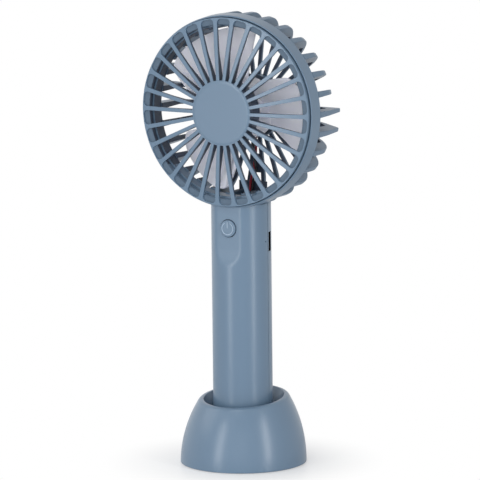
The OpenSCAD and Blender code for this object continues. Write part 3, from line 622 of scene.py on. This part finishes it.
class FAN_OT_stand(bpy.types.Operator):
    """Domed stand with a slanted rim, a bowl and a socket for the handle"""
    bl_idname = "fan.stand"
    bl_label = "Stand"

    foot_radius = 33.7
    arc_radius = 67.4
    wall = 2.0
    lip_wall = 2.2
    lip_round = 2.6
    set_back = 2.4
    bowl = 26.5
    throat = 18.0
    rim = 35.5
    slant = math.tan(math.radians(6))
    foot_edge = 0.75
    socket = 16.2
    socket_floor = 14.0
    tube = 18.2
    plate_ledge = 29.85

    def reach(self, z, inset=0.0):
        """Radius of the dome at a height."""
        return self.foot_radius - self.arc_radius + math.sqrt((self.arc_radius - inset) ** 2 - z * z)

    def rim_height(self, angle):
        """Height of the slanted rim at an angle round the stand."""
        z = self.rim
        for _ in range(12):
            z = self.rim + self.slant * self.reach(z, self.lip_wall / 2) * math.sin(angle)
        return z

    def lean(self, z):
        """Shift of the dome towards the back at a height."""
        return self.set_back * (z / self.rim) ** 1.5

    def profile(self):
        """Closed profile as kind, radius and height, for an upright stand with a level rim."""
        top, soft, fine = self.rim, self.lip_round, 0.5
        lean = math.asin(top / self.arc_radius)
        end = top - soft * (1 - math.sin(lean))
        steps, foot = 28, self.foot_edge
        outer = [(self.reach(z), z) for z in [foot + (end - foot) * i / steps for i in range(steps + 1)]]
        centre = (self.reach(end) - soft * math.cos(lean), end - soft * math.sin(lean))
        edge = self.reach(top - fine, self.lip_wall)
        rim = arc(*centre, soft, math.degrees(lean), 90, 8)[1:]
        rim += arc(edge + fine, top - fine, fine, 90, 180, 5)
        wide, drop = edge - self.throat, top - fine - self.bowl
        inner = [(self.throat + wide * i / 10, self.bowl + drop * i / 10) for i in range(9, -1, -1)]
        bore, base, tube, ledge = self.socket, self.socket_floor, self.tube, self.plate_ledge
        shelf = [(17.7, 25.4), (17.3, 24.5), (16.95, 24.1), (bore + fine, 24)]
        shelf += arc(bore + fine, 24 - fine, fine, 90, 180, 3)
        socket = [(bore, 20), (bore, base), (0, base), (0, base - 2), (tube, base - 2), (tube, 22)]
        hollow = [(self.reach(z, self.wall), z) for z in (22, 12, 4.4)]
        hollow += [(ledge, 4.4), (ledge, 2.8)]
        hollow += [(self.reach(z, self.wall), z) for z in (2.8, 0.3)]
        hollow += [(33.35, 0.3), (33.6, 0.42)]
        kinds = (("outer", outer), ("rim", rim), ("inner", inner), ("fixed", shelf + socket + hollow))
        return [(kind, *point) for kind, points in kinds for point in points]

    def execute(self, context):
        rows = self.profile()
        end = max(z for kind, r, z in rows if kind == "outer")
        top = max(z for kind, r, z in rows if kind == "inner")
        bm = lathe([row[1:] for row in rows], 144)
        for v in bm.verts:
            r, angle = off_axis(v.co), math.atan2(v.co.y, v.co.x)
            kind = min(rows, key=lambda row: (row[1] - r) ** 2 + (row[2] - v.co.z) ** 2)[0]
            if kind == "fixed":
                continue
            high = self.rim_height(angle) - self.rim
            part = (v.co.z - self.bowl) / (top - self.bowl) if kind == "inner" else 1
            if kind == "outer":
                z = v.co.z * (end + high) / end
                new = self.reach(z)
            else:
                z = v.co.z + part * high
                new = r + part * (self.reach(end + high) - self.reach(end))
            v.co = (new * math.cos(angle), new * math.sin(angle) + part * self.lean(z), z)
        stand = finish_piece(bm, "stand_dome", smooth=50)
        dress(stand, "base", "base_dome", "stand satin")
        return {"FINISHED"}


def soft_min(a, b, k):
    """Smooth smaller of two values."""
    h = max(k - abs(a - b), 0) / k
    return min(a, b) - h * h * k / 4


def handle_half(s, side):
    """Half of the handle, filled inside; side is -1 for the front and 1 for the back."""
    radius, foot = s.handle_radius / MM, s.handle_foot / MM
    top, scoop = HEAD_Z - 40, 103
    lows = [foot + 1.2, 40, 70, 95, scoop]
    steps = [scoop + 0.5 * i for i in range(1, 41)] if side < 0 else []
    outer = [(radius, z) for z in lows + steps + [125, 131, 136, 140, 145, top]]
    profile = [(0, foot), (radius - 1, foot)] + arc(radius - 1, foot + 1, 1, -75, -10, 4) + outer
    bm = lathe(profile + [(0, top)], 192)
    far, seam = 60, 0.35
    if side < 0:
        keep = brick((-far, -far, -10), (far, 0, 300))
    else:
        keep = brick((-far, seam, -10), (far, far, 300))
    return carve(bm, [keep], "INTERSECT")


class FAN_OT_front(bpy.types.Operator):
    """Band of the head and front half of the handle with the thumb scoop"""
    bl_idname = "fan.front"
    bl_label = "Front housing"

    key_gap = 0.36
    lamp = (12.6, -1.8, 120.1)
    lamp_radius = 0.45
    band_bore = 50.4
    cage_bore = 51.7

    def scoop_plane(self, s, z):
        """Distance of the scoop from the handle axis at a height."""
        radius, depth = s.handle_radius / MM, s.scoop_depth / MM
        low, high = s.ramp_foot / MM, s.scoop_foot / MM
        below = max(0, (high - z) / (high - low))
        return radius - depth * (1 - below * below)

    def scoop(self, bm, s):
        """Presses the thumb scoop into the handle."""
        radius, soft = s.handle_radius / MM, s.scoop_soft / MM
        for v in bm.verts:
            reach = off_axis(v.co)
            flat = self.scoop_plane(s, v.co.z)
            if reach < radius - 0.2 or v.co.y > -1 or flat > radius + 3:
                continue
            plane = flat / max(0.2, -v.co.y / reach)
            mixed = soft_min(reach, plane, soft)
            v.co.x *= mixed / reach
            v.co.y *= mixed / reach

    def at_hole(self, edge, height, hole):
        """Whether an edge runs round the outer end of the button's hole."""
        middle = (edge.verts[0].co + edge.verts[1].co) / 2
        return middle.y < -13 and abs(math.hypot(middle.x, middle.z - height) - hole) < 0.15

    def execute(self, context):
        s = context.scene.fan_sizes
        bm = handle_half(s, -1)
        self.scoop(bm, s)
        button, hole = s.button_height / MM, s.button_radius / MM + self.key_gap
        along = Matrix.Translation((0, 0, button)) @ turned(90, "X")
        across = Matrix.Translation(self.lamp) @ turned(90, "Y")
        cuts = [drum(hole, 0.5, 30, along, 72), drum(self.lamp_radius, 0, 6, across, 24),
                drum(self.band_bore, 5.9, 40, HEAD, 160), drum(self.cage_bore, -12, 6, HEAD, 160)]
        bm = carve(bm, cuts)
        round_edges(bm, [e for e in sharp_edges(bm, 50) if self.at_hole(e, button, hole)], 0.18, 2)
        band = [(50, 6.2), (50.2, 6)] + arc(51.1, 6.4, 0.4, -90, 4, 5) + arc(50.45, 14.05, 0.45, 4, 180, 10)
        ring = lathe(band, 180)
        ring.transform(HEAD)
        add_mesh(bm, ring)
        piece = finish_piece(bm, "front_shell")
        dress(piece, "fan", "front_housing", "shell satin")
        drop = button - HEAD_Z

        def shaded_hole_wall(middle, normal):
            """Wall of the button's hole, which gets painted shade."""
            near = math.hypot(middle.x, middle.y - drop) < hole + 0.05
            return near and middle.z > 8 and abs(normal.z) < 0.5

        # The wall of the button's hole gets painted shade.
        shade(piece, "painted inner shade", shaded_hole_wall)
        return {"FINISHED"}


class FAN_OT_rear(bpy.types.Operator):
    """Finned rear cage with its hub and the rear half of the handle"""
    bl_idname = "fan.rear"
    bl_label = "Rear housing"

    hub_radius = 17.1
    back = 18.9
    rib = 1.8
    reach = 51.4
    depth = 7.1
    corner = 14.5
    front = 5.7
    head_bore = 48.9
    skin = 15.8
    slot_low = (11, 1.1, 114.55)
    slot_high = (18, 4.4, 124.85)
    screw_heights = (19.4, 93.2)
    screw_radius = 2.4

    def outline(self, square):
        """Outline of a fin in radius and axis."""
        start, end, back = self.hub_radius - 2, self.reach, self.back
        inside = end - self.depth
        if square:
            low = -back - 0.7
            outer = [(start, -back), (end - 10, low), (end - 1.6, low + 1.4), (end - 0.9, low + 2.2),
                     (end, self.corner - back)]
        else:
            outer = [(start, -back)] + arc(end - self.corner, self.corner - back, self.corner, -90, 0, 12)
        hollow = [(inside, self.front), (inside, 5.2 - back), (inside - 3.7, 2.7 - back),
                  (inside - 11, self.rib - back), (start, self.rib - back)]
        return outer + [(end, self.front)] + hollow

    def fin(self, square, angle, edge):
        """One fin, thinner towards the back."""
        bm = prism(self.outline(square), 1)
        for v in bm.verts:
            half = 1.0 + 0.7 * (v.co.y + self.back + 1) / (self.front + self.back + 2)
            v.co.z = half if v.co.z > 0.5 else -half
        outwards(bm)
        round_edges(bm, sharp_edges(bm, 50), edge, 2)
        bm.transform(HEAD @ turned(angle, "Z") @ turned(90, "X"))
        return bm

    def hub(self):
        """Motor cup with the post that carries the bearing tube, and a notch for the leads."""
        r, low, floor = self.hub_radius, -self.back - 0.6, self.rib - self.back
        rim, post, bore = floor + 3.6, 5.03, 3.23
        profile = [(0, low), (r - 0.8, low)] + arc(r - 0.6, low + 0.6, 0.6, -75, 0, 3)
        profile += [(r, rim - 0.4), (r - 0.3, rim), (r - 1.8, rim), (r - 2.1, rim - 0.3), (r - 2.1, floor)]
        profile += [(post, floor), (post, rim + 0.1), (bore, rim + 0.1), (bore, floor + 0.6)]
        bm = lathe(profile + [(0, floor + 0.6)], 96)
        bm.transform(HEAD)
        notch = brick((-2.4, 13, HEAD_Z - r - 2), (2.4, -floor - 0.1, HEAD_Z - r + 4))
        return carve(bm, [notch])

    def execute(self, context):
        s = context.scene.fan_sizes
        edge = s.edge / MM * 1.3
        bm = handle_half(s, 1)
        cuts = [drum(self.head_bore, -13.4, 40, HEAD, 160), brick(self.slot_low, self.slot_high)]
        for z in self.screw_heights:
            out = Matrix.Translation((0, 0, z)) @ turned(-90, "X")
            cuts.append(drum(self.screw_radius, 6.5, 20, out, 40))
        bm = carve(bm, cuts)
        for i in range(s.fins):
            square = i in (0, s.fins - 1, s.fins // 2, s.fins // 2 + 1)
            add_mesh(bm, self.fin(square, 360 * i / s.fins, edge))
        add_mesh(bm, self.hub())
        ring = lathe([(45.3, 5), (49.6, 5), (49.85, 5.25), (49.85, 12.36), (49.65, 12.56), (45.25, 12.56),
                      (45.05, 12.36), (45.05, 5.25)], 180)
        ring.transform(HEAD)
        add_mesh(bm, ring)
        web = prism([(2.6, -26), (-2.6, -26), (-3.6, -36), (3.6, -36)], 1.4)
        web.transform(HEAD @ Matrix.Translation((0, 0, -self.back)))
        add_mesh(bm, web)
        piece = finish_piece(bm, "rear_shell")
        dress(piece, "fan", "rear_housing", "shell satin")
        # The fins get a darker copy of the shell colour: painted shade.
        shade(piece, "cage painted shade", self.cage)
        # Walls inside the cage get dark painted shade.
        shade(piece, "painted inner shade", self.inside)
        # The charging slot's walls get near-black painted shade.
        shade(piece, "socket painted shade", self.socket)
        return {"FINISHED"}

    def cage(self, middle, normal):
        """Fins of the cage, which get a darker copy of the shell colour as painted shade."""
        return middle.z < self.front + 0.1 and 18 < off_axis(middle) < self.reach + 0.1

    def inside(self, middle, normal):
        """Where painted shade goes: the inside wall of the cage ring and the faces of the fins that look at
        the blades.
        """
        r = off_axis(middle)
        if middle.z > 4.5:
            return r < 46.2 and middle.y > PALE_BELOW
        out = (normal.x * middle.x + normal.y * middle.y) / max(r, 1)
        return r < 45.5 and middle.z > -18 and (normal.z > 0.4 or out < -0.4)

    def socket(self, middle, normal):
        """Walls of the charging slot, which get a near-black painted shade."""
        place = HEAD @ middle
        low, high = self.slot_low, self.slot_high
        within = place.x > low[0] and off_axis(place) < self.skin
        return within and low[1] - 0.1 < place.y < high[1] + 0.1 and low[2] - 0.15 < place.z < high[2] + 0.15


class FAN_OT_guard(bpy.types.Operator):
    """Domed front guard with its disc, spokes and sunk rim"""
    bl_idname = "fan.guard"
    bl_label = "Front guard"

    disc = 17.1
    face = 20.7
    plate = 20.5
    under = 15.9
    arch = 1.35
    rim = 49.85
    neck = 49.6
    pocket = 49.3
    air = 46.05
    skirt = 15.9
    hub_front = 6.5
    drop = 3.8
    corner = 2.0
    spoke_in = 1.75
    spoke_out = 2.25
    # Walls between the spokes deeper than this below the front get painted shade.
    lit_wall = 0.7

    def dome(self, r):
        """Height of the front surface."""
        disc, plate, rim = self.disc, self.plate, self.rim
        low = plate - self.drop * (rim - disc) / (self.pocket - disc)
        middle = (disc ** 2 + plate ** 2 - rim ** 2 - low ** 2) / (2 * (plate - low))
        ball = math.hypot(disc, plate - middle)
        return middle + math.sqrt(ball * ball - r * r)

    def floor(self):
        """Height of the channel under the outer ends of the spokes."""
        return self.dome(self.rim) - 0.65

    def behind(self, r):
        """Height of the rear surface."""
        if r <= self.disc:
            return self.under
        middle, top = (self.disc + self.air) / 2, self.under + self.arch
        if r <= middle:
            return self.under + self.arch * (r - self.disc) / (middle - self.disc)
        if r <= self.air:
            return top + (self.floor() - top) * (r - middle) / (self.air - middle)
        return self.floor() - 0.3 if r < self.neck - 0.01 else 15.3

    def half_slot(self, r, spokes):
        """Half width of a slot between two spokes."""
        part = (r - self.disc) / (self.pocket - self.disc)
        spoke = self.spoke_in + (self.spoke_out - self.spoke_in) * part
        return r * math.sin(math.pi / spokes) - spoke / 2

    def rows(self, spokes):
        """Rows of the sector: radius, half slot or None, height of the front."""
        falls = [(0, 0), (9, 0), (15.6, 0), (16.0, 0.02), (16.6, 0.17), (self.disc, 0.36)]
        flat = [(r, None, self.face - fall) for r, fall in falls]
        start = self.disc + 0.15
        end = self.pocket - self.corner
        wide = self.half_slot(end, spokes)
        slot = [(start + (end - start) * i / 12, None) for i in range(13)]
        slot += [(end + self.corner * math.sin(math.radians(a)),
                  wide - self.corner * (1 - math.cos(math.radians(a)))) for a in (25, 50, 75, 90)]
        slot = [(r, self.half_slot(r, spokes) if h is None else h, self.dome(r)) for r, h in slot]
        lip = [(self.neck - 0.05, self.neck), (self.neck + 0.1, self.neck + 0.1), (self.rim, self.rim)]
        return flat + slot + [(r, None, self.dome(at)) for r, at in lip]

    def sector(self, spokes, edge):
        """One part of the guard, with half a spoke on either side of a slot."""
        rows = self.rows(spokes)
        part = math.pi / spokes
        bm = bmesh.new()
        bmesh.ops.create_grid(bm, x_segments=3, y_segments=len(rows) - 1, size=1)
        place = {}
        for v in bm.verts:
            i, j = round((v.co.x + 1) / 2 * 3), round((v.co.y + 1) / 2 * (len(rows) - 1))
            r, half, w = rows[j]
            inner = math.asin(min(1, half / r)) if half is not None else part / 3
            if half is None and j > len(rows) - 4:
                inner = math.asin(rows[-4][1] / rows[-4][0])
            if half is None and j <= 5:
                inner = 0
            angle = (-part, -inner, inner, part)[i]
            v.co = (r * math.cos(angle), r * math.sin(angle), w)
            place[v] = (i, j)
        holes = [j for j, row in enumerate(rows) if row[1] is not None]
        slot = [f for f in bm.faces if all(place[v][0] in (1, 2) and place[v][1] in holes for v in f.verts)]
        bmesh.ops.delete(bm, geom=slot, context="FACES")
        bmesh.ops.remove_doubles(bm, verts=bm.verts, dist=MERGE)
        bmesh.ops.dissolve_degenerate(bm, edges=bm.edges, dist=MERGE)
        halfway = bmesh.ops.extrude_face_region(bm, geom=bm.faces[:])["geom"]
        for v in halfway:
            if isinstance(v, bmesh.types.BMVert):
                back = self.behind(off_axis(v.co))
                v.co.z = max(v.co.z - self.lit_wall, (v.co.z + back) / 2)
        inner = [f for f in halfway if isinstance(f, bmesh.types.BMFace)]
        for v in bmesh.ops.extrude_face_region(bm, geom=inner)["geom"]:
            if isinstance(v, bmesh.types.BMVert):
                v.co.z = self.behind(off_axis(v.co))

        def on_side(v):
            """Whether a point lies on a side of the sector or on its axis."""
            angle = math.atan2(v.co.y, v.co.x)
            return abs(abs(angle) - part) < MERGE or off_axis(v.co) < MERGE

        walls = [f for f in bm.faces if all(on_side(v) for v in f.verts)]
        bmesh.ops.delete(bm, geom=walls, context="FACES")
        outwards(bm)
        if sum(f.normal.z for f in bm.faces if f.calc_center_median().z > 18.5) < 0:
            bmesh.ops.reverse_faces(bm, faces=bm.faces)
        lips = [e for e in sharp_edges(bm, 50) if max(f.normal.z for f in e.link_faces) > 0.7]
        round_edges(bm, lips, edge, 3)
        return bm

    def execute(self, context):
        s = context.scene.fan_sizes
        n = s.spokes
        bm = self.sector(n, s.edge / MM * 1.4)
        bmesh.ops.spin(bm, geom=everything(bm), cent=(0, 0, 0), axis=(0, 0, 1),
                       angle=math.tau * (n - 1) / n, steps=n - 1, use_duplicate=True, use_merge=False)
        bmesh.ops.rotate(bm, verts=bm.verts, cent=(0, 0, 0), matrix=Matrix.Rotation(math.pi / n, 3, "Z"))
        air, neck, floor = self.air, self.neck, self.floor()
        seat = floor - 3.4
        add_mesh(bm, lathe([(air, seat + 0.3), (air + 0.3, seat), (neck - 0.6, seat), (neck, seat + 0.6),
                            (neck, floor), (air + 0.25, floor), (air, floor - 0.25)], 180))
        out, low, high = self.skirt, self.hub_front + 0.5, self.under + 0.5
        add_mesh(bm, lathe([(out - 0.3, low), (out, low + 0.3), (out, high), (out - 1.6, high),
                            (out - 1.6, low + 0.2), (out - 1.4, low)], 120))
        piece = finish_piece(bm, "front_guard", HEAD)
        dress(piece, "fan", "front_grille", "shell satin")
        # Walls between the spokes, inside the ring and on the skirt get dark painted shade.
        shade(piece, "painted inner shade", self.inside)
        # The channel floor gets a darker painted shade.
        shade(piece, "channel painted shade", self.channel)
        return {"FINISHED"}

    def channel(self, middle, normal):
        """Floor of the channel under the outer ends of the spokes, which gets a darker painted shade."""
        reach = off_axis(middle)
        return normal.z > 0.7 and abs(middle.z - self.floor()) < 0.2 and self.air < reach < self.neck

    def inside(self, middle, normal):
        """Where painted shade goes: the walls between the spokes, the inside wall of the ring and the skirt.
        """
        r = off_axis(middle)
        if r < self.disc - 0.2:
            return middle.z < self.under + 0.4
        lower = r > self.air - 0.3 and middle.y < PALE_BELOW
        deep = r < self.air + 0.2 and middle.z < self.dome(r) - self.lit_wall
        return abs(normal.z) < 0.5 and deep and not lower


class FAN_OT_impeller(bpy.types.Operator):
    """Three wide pale blades on a round hub"""
    bl_idname = "fan.impeller"
    bl_label = "Impeller"

    hub = 16.4
    hub_wall = 1.8
    front = 6.5
    back = -9.6
    boss = 3.02
    shaft = 1.02
    tip = 43.3
    middle = 2.13
    height = 20.4
    thick = 1.2

    def blade_point(self, s, v):
        """Point of the blade surface; s runs along the chord and v from hub to tip."""
        x = max(0, (abs(s) - 0.5) / 0.5)
        end = self.tip - 4.5 * (1 - math.sqrt(max(0, 1 - x * x)))
        rise = self.middle + (self.height - 1.3) / 2 * (s - 0.25 * (1 - s * s))
        start = self.hub + (-0.8 if rise < self.front - 1 else 0.4)
        r = start + v * (end - start)
        high = math.radians(27 + 0.73 * (self.tip - 2.1 - r))
        low = math.radians(-34 - 5 * (r - self.hub) / (self.tip - self.hub))
        angle = low + (s + 1) / 2 * (high - low)
        return (r * math.cos(angle), r * math.sin(angle), rise)

    def blade(self, turn):
        """One blade, solid and rounded at its edges."""
        bm = bmesh.new()
        bmesh.ops.create_grid(bm, x_segments=40, y_segments=16, size=1)
        for v in bm.verts:
            s = math.sin(v.co.x * math.pi / 2) * 0.6 + v.co.x * 0.4
            v.co = self.blade_point(max(-1, min(1, s)), (v.co.y + 1) / 2)
        outwards(bm)
        bmesh.ops.solidify(bm, geom=bm.faces[:], thickness=self.thick)
        outwards(bm)
        round_edges(bm, sharp_edges(bm, 60), 0.4, 3)
        bm.transform(HEAD @ Matrix.Rotation(turn, 4, "Z"))
        return bm

    def execute(self, context):
        s = context.scene.fan_sizes
        front, back, r, wall = self.front, self.back, self.hub, self.hub_wall
        roof = front - wall
        profile = [(0, front), (r - 1.2, front)] + arc(r - 1, front - 1, 1, 75, 0, 5)
        profile += [(r, back + 0.2), (r - 0.2, back), (r - wall, back), (r - wall, roof), (self.boss, roof)]
        profile += [(self.boss, 1), (self.shaft, 1), (self.shaft, roof), (0, roof)]
        bm = lathe(profile, 120)
        bm.transform(HEAD)
        for i in range(s.blades):
            add_mesh(bm, self.blade(math.tau * i / s.blades))
        piece = finish_piece(bm, "impeller_blades", smooth=45)
        dress(piece, "rotor", "impeller", "blade satin")
        return {"FINISHED"}


class FAN_OT_button(bpy.types.Operator):
    """Round push button with a raised power mark"""
    bl_idname = "fan.button"
    bl_label = "Power button"

    face = 14.9
    flange = 11.6
    stem = 2.0
    stem_end = 4.2
    mark_gap = 26
    mark_inner = 2.95
    mark_outer = 3.5
    bar_half = 0.3
    bar_top = 3.6

    def mark(self):
        """Ring with a gap at the top, and a bar in the gap."""
        low, high = self.face - 0.2, self.face + 0.25
        inner, outer, gap = self.mark_inner, self.mark_outer, self.mark_gap
        bm = bmesh.new()
        corners = ((inner, low), (outer, low), (outer, high), (inner, high))
        bm.faces.new([bm.verts.new((x, 0, z)) for x, z in corners])
        start = Matrix.Rotation(math.radians(90 + gap), 3, "Z")
        bmesh.ops.rotate(bm, verts=bm.verts, cent=(0, 0, 0), matrix=start)
        bmesh.ops.spin(bm, geom=everything(bm), cent=(0, 0, 0), axis=(0, 0, 1),
                       angle=math.radians(360 - 2 * gap), steps=60, use_duplicate=False, use_merge=False)
        tidy(bm)
        round_edges(bm, sharp_edges(bm, 50), 0.1, 2)
        bar = brick((-self.bar_half, 0.2, low), (self.bar_half, self.bar_top, high))
        round_edges(bar, bar.edges[:], 0.1, 2)
        return bm, bar

    def execute(self, context):
        s = context.scene.fan_sizes
        r, face, flange = s.button_radius / MM, self.face, self.flange
        sunk = (s.handle_radius - s.scoop_depth) / MM - 0.15
        profile = [(0, face), (r - 0.6, face - 0.01)] + arc(r - 0.5, face - 0.5, 0.5, 80, 0, 5)
        profile += [(r, sunk), (r, flange), (r + 0.9, flange), (r + 0.9, flange - 0.8)]
        profile += [(self.stem, flange - 0.8), (self.stem, self.stem_end), (0, self.stem_end)]
        bm = lathe(profile, 96)
        for part in self.mark():
            add_mesh(bm, part)
        along = Matrix.Translation((0, 0, s.button_height / MM)) @ turned(90, "X")
        piece = finish_piece(bm, "power_key", along)
        dress(piece, "button", "power_button", "shell satin")
        # The top of the raised mark gets a paler painted highlight.
        shade(piece, "mark painted highlight", lambda middle, normal: middle.z > face + 0.05)
        # The button's side below the scoop's surface gets dark painted shade.
        shade(piece, "painted inner shade", lambda middle, normal: middle.z < sunk)
        return {"FINISHED"}


SETTINGS = {"fan_sizes": FanSizes, "fan_colours": FanColours, "fan_studio": FanStudio}
OPERATORS = (FAN_OT_finishes, FAN_OT_studio, FAN_OT_stand, FAN_OT_front, FAN_OT_rear, FAN_OT_guard,
             FAN_OT_impeller, FAN_OT_button)


class FAN_PT_panel(bpy.types.Panel):
    """Sizes, colours and pieces of the fan"""
    bl_idname = "FAN_PT_panel"
    bl_label = "Handheld Fan"
    bl_space_type = "VIEW_3D"
    bl_region_type = "UI"
    bl_category = "Fan"

    def draw(self, context):
        for setting, group in SETTINGS.items():
            box = self.layout.box()
            for name in group.__annotations__:
                box.prop(getattr(context.scene, setting), name)
        for operator in OPERATORS:
            self.layout.operator(operator.bl_idname)


CLASSES = (*SETTINGS.values(), *OPERATORS, FAN_PT_panel)


def register():
    """Registers the classes and puts their settings on the scene."""
    for cls in CLASSES:
        bpy.utils.register_class(cls)
    for setting, group in SETTINGS.items():
        setattr(bpy.types.Scene, setting, PointerProperty(type=group))


def unregister():
    """Takes the settings and the classes away again."""
    for setting in SETTINGS:
        delattr(bpy.types.Scene, setting)
    for cls in reversed(CLASSES):
        bpy.utils.unregister_class(cls)


def main():
    """Builds the scene."""
    register()
    bpy.ops.fan.studio()
    bpy.ops.fan.finishes()
    bpy.ops.fan.stand()
    bpy.ops.fan.front()
    bpy.ops.fan.rear()
    bpy.ops.fan.guard()
    bpy.ops.fan.impeller()
    bpy.ops.fan.button()


if __name__ == "__main__":
    main()
